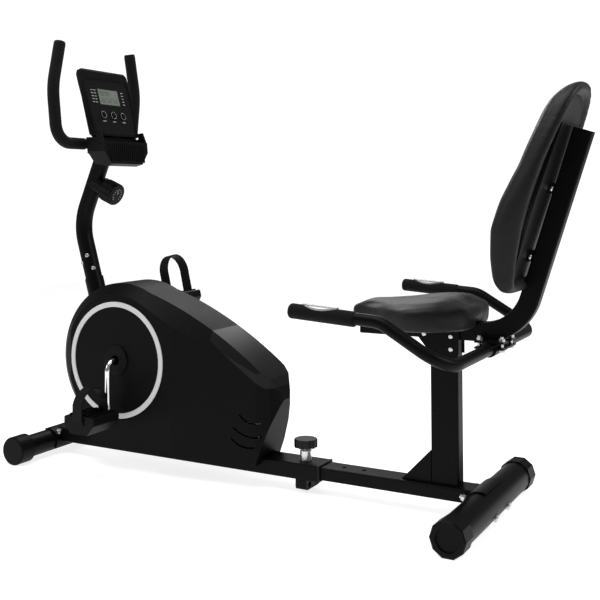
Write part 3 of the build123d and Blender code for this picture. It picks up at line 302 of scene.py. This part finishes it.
clothRun = {"quality": 4, "frames": 20, "spreadMove": 14, "spreadShape": 3}


def puffUp(piece, voxel, pressure, cap, held):
    # remeshes the pad, blows it up as cloth with its base held, then evens out and limits the movement
    remesh = piece.modifiers.new("remesh", "REMESH")
    remesh.mode, remesh.voxel_size = "VOXEL", voxel
    applyModifiers(piece)
    before = readPoints(piece.data)
    group = piece.vertex_groups.new(name="held")
    group.add(np.flatnonzero(held(before)).tolist(), 1.0, "REPLACE")
    cloth = piece.modifiers.new("cloth", "CLOTH")
    cloth.settings.quality = clothRun["quality"]
    cloth.settings.use_pressure = True
    cloth.settings.uniform_pressure_force = pressure
    cloth.settings.effector_weights.gravity = 0
    cloth.settings.vertex_group_mass = "held"
    for step in range(1, clothRun["frames"] + 1):
        scene.frame_set(step)
    graph = bpy.context.evaluated_depsgraph_get()
    after = readPoints(piece.evaluated_get(graph).data)
    edges = np.empty(len(piece.data.edges) * 2, int)
    piece.data.edges.foreach_get("vertices", edges)
    edges = edges.reshape(-1, 2)
    move = spread(after - before, edges, clothRun["spreadMove"])
    before = spread(before, edges, clothRun["spreadShape"])
    length = np.linalg.norm(move, axis=1, keepdims=True)
    after = before + move * np.minimum(1, cap / np.maximum(length, 1e-9))
    piece.modifiers.clear()
    piece.vertex_groups.clear()
    piece.data.vertices.foreach_set("co", after.ravel())
    piece.data.polygons.foreach_set("use_smooth", np.ones(len(piece.data.polygons), bool))
    piece.data.update()
    scene.frame_set(1)


def smoothOver(piece, levels=1):
    rounder = piece.modifiers.new("rounder", "SUBSURF")
    rounder.levels = rounder.render_levels = levels


# ---- seat cushion

seat = {
    # half outline from the nose to the back, metres from the nose and from the middle line
    "outline": [(0.000, 0.000), (0.002, 0.022), (0.014, 0.043), (0.046, 0.062), (0.092, 0.098),
                (0.135, 0.138), (0.172, 0.1575), (0.212, 0.157), (0.247, 0.141), (0.278, 0.114),
                (0.296, 0.086), (0.3015, 0.045), (0.303, 0.000)],
    "edge": ((0.0, 0.029, 0.075, 0.176, 0.244, 0.303), (0.047, 0.049, 0.051, 0.0565, 0.0605, 0.057)),
    "crown": ((0.0, 0.030, 0.068, 0.125, 0.200, 0.262, 0.303),
              (0.009, 0.016, 0.009, 0.009, 0.014, 0.0165, 0.009)),
    "length": 0.303, "base": 0.0085, "shoulder": 0.90, "middle": 0.170,
    "crownReach": 0.96, "crownPower": 2.4,
    # scale of the outline and share of the height, up the side wall
    "wall": [(0.86, 0.0), (0.925, 0.0), (0.955, 0.05), (0.972, 0.16), (0.988, 0.40), (1.0, 0.66),
             (0.998, 0.82), (0.985, 0.93), (0.955, 0.985), (0.925, 1.0)],
    "overRows": 16, "underRows": 10, "underEdge": 0.80,
    "dish": (0.005, 0.028, 0.10, 0.05, 4),   # depth, half width, where it starts, its run-in, its fade
    "groove": 0.0215,                        # height of the channel over the tube
    "channel": (0.020, 0.004),               # half width and slope of its side
    "hollow": (0.84, 0.06, 0.005),           # reach, slope and extra height of the hollow underneath
    "held": 0.022, "fill": 0.8,
    "voxel": 0.0042, "pressure": 4.0, "cap": 0.004, "around": 144,
}


def makeSeat():
    # plan outline scaled towards one middle point by s; height follows the wall up to the shoulder,
    # then edge(x) + crown(x) * (1 - (s / crownReach) ^ crownPower) over the top, dished along the middle
    low, high = (np.array(c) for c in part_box("seat_cushion"))
    ring = closedCurve(mirrored([(y, x) for x, y in seat["outline"]]), seat["around"])[:, ::-1]
    ring[:, 0] *= (high[0] - low[0]) / seat["length"]
    middle = np.array([seat["middle"], 0.0])
    over = [(s, 1.0) for s in np.linspace(seat["shoulder"], 0.0, seat["overRows"])]
    under = [(s, 0.0) for s in np.linspace(0.0, seat["underEdge"], seat["underRows"])]
    stations = np.array(under + seat["wall"] + over)
    s, up = stations[:, 0][:, None], stations[:, 1][:, None]
    plan = middle + (ring - middle)[None] * s[..., None]
    x, y = plan[..., 0], plan[..., 1]
    edge = np.interp(x, *seat["edge"])
    dome = np.clip(1 - (s / seat["crownReach"]) ** seat["crownPower"], 0, 1) * np.interp(x, *seat["crown"])
    depth, width, start, runIn, fade = seat["dish"]
    dish = depth * np.exp(-(y / width) ** 2) * np.clip((x - start) / runIn, 0, 1)
    dish = dish * np.clip((seat["shoulder"] - s) * fade, 0, 1)
    half, slope = seat["channel"]
    channel = np.clip((half - np.abs(y)) / slope, 0, 1) * (seat["groove"] - seat["base"])
    reach, slope, extra = seat["hollow"]
    hollow = np.clip((reach - s) / slope, 0, 1) * (seat["groove"] + extra - seat["base"])
    bottom = seat["base"] + np.maximum(channel, hollow)
    z = bottom + up * (edge - bottom) + (up > 0.9) * (dome - dish)
    points = np.stack([low[0] + x, y, low[2] + z], axis=-1)
    faces = gridFaces(len(stations), seat["around"])
    piece = addPiece("seatCushion", points, faces, "vinyl", "rear_frame")
    weld(piece)
    puffUp(piece, seat["voxel"], seat["pressure"], seat["cap"], lambda p: p[:, 2] < low[2] + seat["held"])
    smoothOver(piece)
    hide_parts("seat_cushion")
    print("seat cushion", len(piece.data.vertices))


# ---- backrest

back = {
    # half outline (half width, height above the foot), and the side profile by height
    "outline": [(0.000, 0.000), (0.060, 0.000), (0.106, 0.002), (0.122, 0.014), (0.1265, 0.040),
                (0.134, 0.112), (0.1385, 0.190), (0.132, 0.268), (0.1165, 0.339), (0.0955, 0.394),
                (0.066, 0.424), (0.033, 0.4365), (0.000, 0.439)],
    "height": (0.0, 0.028, 0.070, 0.134, 0.192, 0.268, 0.347, 0.409, 0.437),
    "rear": (0.0433, 0.0463, 0.0523, 0.0653, 0.0823, 0.1083, 0.1413, 0.1663, 0.1773),
    "front": (0.0163, 0.0043, 0.0003, 0.0043, 0.0283, 0.0663, 0.0973, 0.1203, 0.1393),
    "rim": 0.024, "centre": 0.200, "around": 176,
    "voxel": 0.0048, "pressure": 3.0, "cap": 0.004,
    # inset from the outline, depth (0 rear, 1 front) and how far the recess still sinks it
    "rimRows": [(0.0225, 0.02, 0.25), (0.019, -0.0008, 0), (0.013, -0.0022, 0), (0.007, -0.0010, 0),
                (0.0028, 0.06, 0), (0.0006, 0.18, 0), (0.0, 0.34, 0), (0.0, 0.66, 0), (0.0006, 0.82, 0),
                (0.003, 0.94, 0), (0.008, 1.0, 0)],
    "recessRows": 9, "shoulder": 0.014, "frontRows": 12, "frontStep": 0.004, "frontCrown": 0.006,
    "boardThick": 0.0084, "recessGap": 0.0012, "skin": 0.004, "held": 0.006, "fill": 0.75,
    "panelOverlap": 0.010, "panelReach": 0.985, "panelRows": 14, "panelLift": 0.0008, "panelThick": 0.0012,
}


def insetLoop(loop, distance):
    # each point moves inwards across the loop's own direction
    along = np.roll(loop, -1, 0) - np.roll(loop, 1, 0)
    along /= np.linalg.norm(along, axis=1, keepdims=True)
    inward = np.stack([-along[:, 1], along[:, 0]], axis=1)
    centre = np.array([0.0, back["centre"]])
    side = np.sign(np.sum(inward * (centre - loop), axis=1, keepdims=True))
    return loop + inward * side * distance


def backPlane():
    # the plane of the board's front face: where it is at a height above the cushion's foot
    low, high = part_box("backrest_board")
    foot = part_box("backrest_cushion")[0]
    slope = (high[0] - low[0] - back["boardThick"]) / (high[2] - low[2])
    return lambda z: low[0] - foot[0] + (z + foot[2] - low[2]) * slope


def backPoints(loops, depths, recess):
    # loops of (y, z) placed in depth: from the rear surface (depth 0) to the front one (depth 1)
    foot = np.array(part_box("backrest_cushion")[0])
    y, z = loops[..., 0], loops[..., 1]
    rear = np.interp(z, back["height"], back["rear"])
    front = np.interp(z, back["height"], back["front"])
    plane = backPlane()(z) - back["recessGap"]
    x = rear + (front - rear) * np.clip(depths, 0, 1)
    x = x - np.where(depths > 1, (depths - 1), 0) - np.where(depths < 0, depths, 0)
    x = np.where(recess > 0, np.minimum(plane, rear + back["skin"]) * recess + x * (1 - recess), x)
    return np.stack([foot[0] + x, y, foot[2] + z], axis=-1)


def makeBackrest():
    # rows swept round the outline: recessed panel, padded rim, crowned front
    ring = closedCurve(mirrored(back["outline"]), back["around"])
    centre = np.array([0.0, back["centre"]])
    inner, shoulder = insetLoop(ring, back["rim"]), insetLoop(ring, back["shoulder"])
    rows = [(centre + (inner - centre) * s, 0.0, 1.0) for s in np.linspace(0, 1, back["recessRows"])]
    rows += [(insetLoop(ring, inset), depth, sunk) for inset, depth, sunk in back["rimRows"]]
    front, crown = 1.0 + back["frontStep"], back["frontCrown"]
    rows += [(centre + (shoulder - centre) * s, front + crown * (1 - s ** 2), 0.0)
             for s in np.linspace(1, 0, back["frontRows"])]
    loops, depths, recess = zip(*rows)
    loops = np.array(loops)
    shape = (len(depths), back["around"])
    points = backPoints(loops, np.broadcast_to(np.array(depths)[:, None], shape),
                        np.broadcast_to(np.array(recess)[:, None], shape))
    piece = addPiece("backCushion", points, gridFaces(*shape), "vinyl", "rear_frame")
    weld(piece)
    plane, foot = backPlane(), np.array(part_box("backrest_cushion")[0])
    puffUp(piece, back["voxel"], back["pressure"], back["cap"],
           lambda p: np.abs(p[:, 0] - foot[0] - plane(p[:, 2] - foot[2])) < back["held"])
    smoothOver(piece)
    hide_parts("backrest_cushion")
    print("backrest cushion", len(piece.data.vertices))
    makeBackPanel(inner, centre)


def makeBackPanel(inner, centre):
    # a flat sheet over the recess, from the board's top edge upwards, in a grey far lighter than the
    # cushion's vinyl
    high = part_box("backrest_board")[1]
    foot = np.array(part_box("backrest_cushion")[0])
    cut = high[2] - foot[2] - back["panelOverlap"]
    scales = np.linspace(0.0, back["panelReach"], back["panelRows"])
    loops = np.array([centre + (inner - centre) * s for s in scales])
    loops[..., 1] = np.maximum(loops[..., 1], cut)
    plane = backPlane()(loops[..., 1]) + back["panelLift"]
    points = np.stack([foot[0] + plane, loops[..., 0], foot[2] + loops[..., 1]], axis=-1)
    faces = gridFaces(back["panelRows"], back["around"])
    piece = addPiece("backPanel", points, faces, "backPanel", "rear_frame")
    wall = piece.modifiers.new("wall", "SOLIDIFY")
    wall.thickness, wall.offset = back["panelThick"], 0.0
    print("back panel")


def loopTube(loop, radius, sides=10):
    # a round section carried along a closed loop, in the plane across its direction
    along = np.roll(loop, -1, 0) - np.roll(loop, 1, 0)
    along /= np.linalg.norm(along, axis=1, keepdims=True)
    out = np.cross(along, (1.0, 0.0, 0.0))
    out /= np.linalg.norm(out, axis=1, keepdims=True)
    other = np.cross(along, out)
    a = np.linspace(0, 2 * np.pi, sides, endpoint=False)
    cos, sin = np.cos(a)[None, :, None], np.sin(a)[None, :, None]
    return loop[:, None] + radius * (cos * out[:, None] + sin * other[:, None])


# ---- foam sleeves

def roundedPath(corners, radii, step=0.004):
    # straight runs joined by arcs: each corner is cut back by radius * tan(half turn)
    corners = np.asarray(corners, float)
    out = [corners[:1]]
    for before, corner, after, radius in zip(corners, corners[1:], corners[2:], radii):
        a, b = before - corner, after - corner
        a, b = a / np.linalg.norm(a), b / np.linalg.norm(b)
        half = 0.5 * math.acos(np.clip(np.dot(a, b), -1, 1))
        back = radius / math.tan(half)
        bisect = (a + b) / np.linalg.norm(a + b)
        middle = corner + bisect * radius / math.sin(half)
        first, last = corner + a * back - middle, corner + b * back - middle
        sweep = math.pi - 2 * half
        t = np.linspace(0, 1, max(4, int(radius * sweep / step)))[:, None]
        out.append(middle + (np.sin((1 - t) * sweep) * first + np.sin(t * sweep) * last) / math.sin(sweep))
    out.append(corners[-1:])
    path = np.vstack(out)
    run = np.r_[0, np.cumsum(np.linalg.norm(np.diff(path, axis=0), axis=1))]
    even = np.linspace(0, run[-1], int(run[-1] / step))
    return np.stack([np.interp(even, run, path[:, k]) for k in range(3)], axis=1)


def sleeve(path, radius, roundOff, normal, sides=28):
    # a round section along a path in one plane; its radius falls off over each end as a quarter circle
    along = np.gradient(path, axis=0)
    along /= np.linalg.norm(along, axis=1, keepdims=True)
    across = np.broadcast_to(np.asarray(normal, float), path.shape)
    other = np.cross(along, across)
    run = np.r_[0, np.cumsum(np.linalg.norm(np.diff(path, axis=0), axis=1))]
    near = np.minimum(run, run[-1] - run)
    dip = np.clip(1 - near / roundOff, 0, 1)
    r = (radius - roundOff * (1 - np.sqrt(1 - dip ** 2)))[:, None, None]
    a = np.linspace(0, 2 * np.pi, sides, endpoint=False)
    cos, sin = np.cos(a)[None, :, None], np.sin(a)[None, :, None]
    rings = path[:, None] + r * (cos * across[:, None] + sin * other[:, None])
    return np.concatenate([path[:1, None].repeat(sides, 1), rings, path[-1:, None].repeat(sides, 1)])


grips = {
    "radius": 0.0157, "fill": 1.0,
    # the handlebar's middle line, as (y, z) from the tip to the clamp, and the radius of each bend
    "barPoints": ((0.1422, 1.107), (0.169, 0.985), (0.152, 0.841)), "barRadii": (0.190, 0.055),
    "barRound": 0.004, "barStep": 0.002, "inner": 0.046, "top": 1.1045,
    "armRadius": 0.0127, "armDrop": 0.0096, "armRound": 0.0065, "armStep": 0.0015, "armStart": 0.001,
}


def addSleeves(name, path, roundOff, normal, body, node):
    # one sleeve and its mirror image, in place of the plain ones
    one = sleeve(path, grips["radius"], roundOff, normal)
    pair = np.concatenate([one, one * (1, -1, 1)])
    rows, sides = one.shape[:2]
    faces = np.vstack([gridFaces(rows, sides), gridFaces(rows, sides) + rows * sides])
    piece = addPiece(name, pair, faces, "foam", body)
    weld(piece)
    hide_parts(node)


def makeGrips():
    low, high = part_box("handlebar")
    barX = 0.5 * (low[0] + high[0])
    corners = [(barX, y, z) for y, z in grips["barPoints"]] + [(barX, 0, grips["barPoints"][-1][1])]
    path = roundedPath(corners, grips["barRadii"], grips["barStep"])
    path = path[(path[:, 2] < grips["top"]) & (path[:, 1] > grips["inner"])]
    addSleeves("handlebarFoam", path, grips["barRound"], (1, 0, 0), "front_frame", "handlebar_grips")
    low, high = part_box("seat_grips")
    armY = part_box("seat_handlebar")[1][1] - grips["armRadius"]
    topZ = high[2] - grips["radius"]
    ends = [(low[0] + grips["armStart"], armY, topZ), (high[0], armY, topZ - grips["armDrop"])]
    path = roundedPath(ends, [], grips["armStep"])
    addSleeves("seatFoam", path, grips["armRound"], (0, 1, 0), "rear_frame", "seat_grips")
    print("foam sleeves")


# ---- print on the console, the keys and the dial

printing = {
    "sink": 0.0002, "proud": 0.00012,
    "figure": (0.0062, 0.0125, 0.0012), "smallFigure": (0.0036, 0.0068, 0.0008),   # width, height, stroke
    "figureX": (-0.0330, -0.0245, -0.0120, -0.0035), "figureY": 0.0040,
    "smallX": (-0.0330, -0.0275, -0.0220, -0.0080, -0.0025, 0.0030, 0.0180, 0.0235, 0.0290),
    "smallY": -0.0150,
    "labelX": (-0.066, -0.054, 0.058), "labelY": (0.017, 0.0085, 0.0, -0.0085, -0.017),
    "label": (0.0085, 0.0016),
    "keyRing": 0.0096, "keyRod": 0.00040, "keyLabel": (0.013, 0.0020, -0.0175),
    "divider": (-0.036, -0.0045, 0.036, -0.0040),
    "colonX": (-0.0162, -0.0150), "colonY": (0.0075, 0.0125), "colonHeight": 0.0012,
    "ringSides": 48, "pointer": (0.002, 0.0115, 0.0016), "tickSweep": 135,
    "ticks": 11, "tickSpan": (0.0135, 0.0180), "tickWidth": 0.0009,
}


def jointAxis(name):
    joint = next(j for j in record["behaviour"]["joints"] if j["name"] == name)
    return np.array(joint["axis"], float)


def topOf(name, out):
    # the middle of the points that stand furthest along out
    points = readPoints(nodes[name].data)
    height = points @ out
    top = points[height > height.max() - 0.0003]
    return 0.5 * (top.min(0) + top.max(0))


def bar(x0, y0, x1, y1):
    return [(x0, y0), (x1, y0), (x1, y1), (x0, y1)]


def zeroFigure(x, y, width, height, stroke):
    # the six outer strokes of a seven-stroke figure, with a small gap at each joint
    gap, middle = 0.25 * stroke, y + 0.5 * height
    flat = [bar(x + gap + stroke, level, x + width - gap - stroke, level + stroke)
            for level in (y, y + height - stroke)]
    upright = [bar(side, start + gap + stroke * first, side + stroke, stop - gap - stroke * last)
               for side in (x, x + width - stroke)
               for start, stop, first, last in ((y, middle, 1, 0), (middle, y + height, 0, 1))]
    return flat + upright


def tick(angle, inner, outer, width):
    along = np.array([math.sin(angle), math.cos(angle)])
    side = np.array([along[1], -along[0]]) * width / 2
    return [tuple(along * inner - side), tuple(along * inner + side),
            tuple(along * outer + side), tuple(along * outer - side)]


def printMarks(name, marks, centre, up, out, finish, body):
    # flat marks, four corners each, raised into thin slabs on the plane through centre
    marks = np.asarray(marks, float)
    across = np.cross(up, out)
    flat = centre + marks[..., :1] * across + marks[..., 1:] * up
    points = np.concatenate([flat - out * printing["sink"], flat + out * printing["proud"]], axis=1)
    slab = np.array([[3, 2, 1, 0], [4, 5, 6, 7], [0, 1, 5, 4], [1, 2, 6, 5], [2, 3, 7, 6], [3, 0, 4, 7]])
    faces = (slab[None] + 8 * np.arange(len(marks))[:, None, None]).reshape(-1, 4)
    return addPiece(name, points, faces, finish, body, smooth=False)


def makeConsolePrint():
    out = -jointAxis("key_left_press")
    up = np.array([-out[2], 0.0, out[0]])
    lens = topOf("display_lens", out)
    marks = []
    for x in printing["figureX"]:
        marks += zeroFigure(x, printing["figureY"], *printing["figure"])
    for x in printing["smallX"]:
        marks += zeroFigure(x, printing["smallY"], *printing["smallFigure"])
    marks.append(bar(*printing["divider"]))
    left, right = printing["colonX"]
    marks += [bar(left, y, right, y + printing["colonHeight"]) for y in printing["colonY"]]
    printMarks("displayFigures", marks, lens, up, out, "segmentInk", "front_frame")
    # the columns of labels lie on the plate, beside the window and under the keys
    plate = topOf("console_face", out)
    onPlate = lens - out * np.dot(lens - plate, out)
    wide, tall = printing["label"]
    marks = [bar(x - wide / 2, y - tall / 2, x + wide / 2, y + tall / 2)
             for x in printing["labelX"] for y in printing["labelY"]]
    wide, tall, drop = printing["keyLabel"]
    for side in ("left", "middle", "right"):
        key = topOf("button_" + side, out)
        x, y = key[1], np.dot(key - onPlate, up) + drop
        marks.append(bar(x - wide / 2, y - tall / 2, x + wide / 2, y + tall / 2))
        a = np.linspace(0, 2 * np.pi, printing["ringSides"], endpoint=False)[:, None]
        loop = key + printing["keyRing"] * (np.cos(a) * np.array([0.0, 1.0, 0.0]) + np.sin(a) * up)
        tube = loopTube(loop, printing["keyRod"])
        faces = gridFaces(*tube.shape[:2], wrapRows=True)
        ring = addPiece(side + "KeyRing", tube, faces, "printInk", "key_" + side)
        weld(ring, 0.000001)
    printMarks("plateLabels", marks, onPlate, up, out, "printInk", "front_frame")
    print("console print")


def makeDialPrint():
    out = jointAxis("dial_turn")
    up = np.array([-out[2], 0.0, out[0]])
    angles = np.radians(np.linspace(-printing["tickSweep"], printing["tickSweep"], printing["ticks"]))
    marks = [tick(a, *printing["tickSpan"], printing["tickWidth"]) for a in angles]
    marks.append(tick(0.0, *printing["pointer"]))
    printMarks("dialMarks", marks, topOf("tension_dial", out), up, out, "printInk", "dial")
    print("dial print")


# ---- floor

def makeFloor():
    mesh = bpy.data.meshes.new("floor")
    r = studio["floorRadius"]
    mesh.from_pydata([(-r, -r, 0), (r, -r, 0), (r, r, 0), (-r, r, 0)], [], [(0, 1, 2, 3)])
    mesh.materials.append(makeMaterial("paleFloor", (0.62, 0.62, 0.62), 0.85, tint=0.01, patch=1.5,
                                       grain=("noise", 80, 0.0003, 0.1), Specular_IOR_Level=0.1,
                                       Emission_Color=(1, 1, 1, 1), Emission_Strength=studio["floorGlow"]))
    floor = bpy.data.objects.new("floor", mesh)
    scene.collection.objects.link(floor)


placeCamera()
placeLights()
makeFloor()
paintNodes()
makeSeat()
makeBackrest()
makeGrips()
makeConsolePrint()
makeDialPrint()
